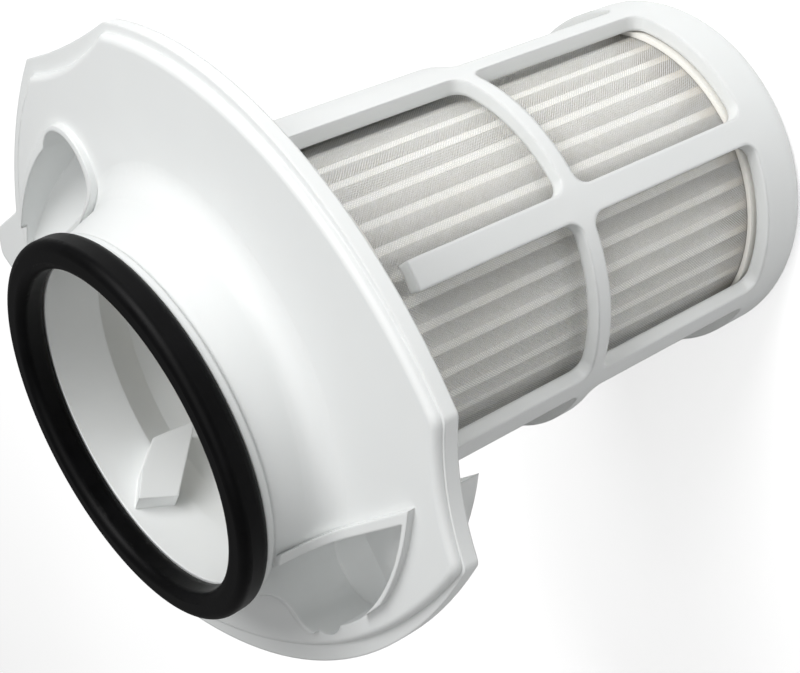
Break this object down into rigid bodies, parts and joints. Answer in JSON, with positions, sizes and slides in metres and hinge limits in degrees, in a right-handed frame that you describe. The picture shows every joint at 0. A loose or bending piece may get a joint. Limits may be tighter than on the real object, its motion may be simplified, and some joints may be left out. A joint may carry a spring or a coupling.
{
  "type": "vacuum filter",
  "caption": "Cylindrical pleated exhaust filter in a ribbed cage, with a three-cornered flange, grip pockets and a round neck carrying a rubber seal.",
  "frame": {"origin": "centre of the cage's flat closed end, on the cage's axis", "axes": "+Z along the cage's axis from the closed end to the seal; +X away from the side to which the neck is offset; the neck's axis is canted by 3.3 degrees towards -X and meets the seal's seat 3.8 mm towards -X and 2.7 mm towards -Y"},
  "size_m": [0.1059, 0.1196, 0.1259],
  "materials": {
    "white_plastic": "satin moulded plastic",
    "black_rubber": "satin",
    "filter_paper": "matt folded sheet",
    "white_gauze": "fine open net",
    "cream_plastic": "matt"
  },
  "bodies": {
    "root": {"head": "white_plastic", "cage": "white_plastic", "seal": "black_rubber", "pleats": "filter_paper", "gauze": "white_gauze", "lower_cup": "cream_plastic", "upper_cup": "cream_plastic"}
  },
  "joints": []
}
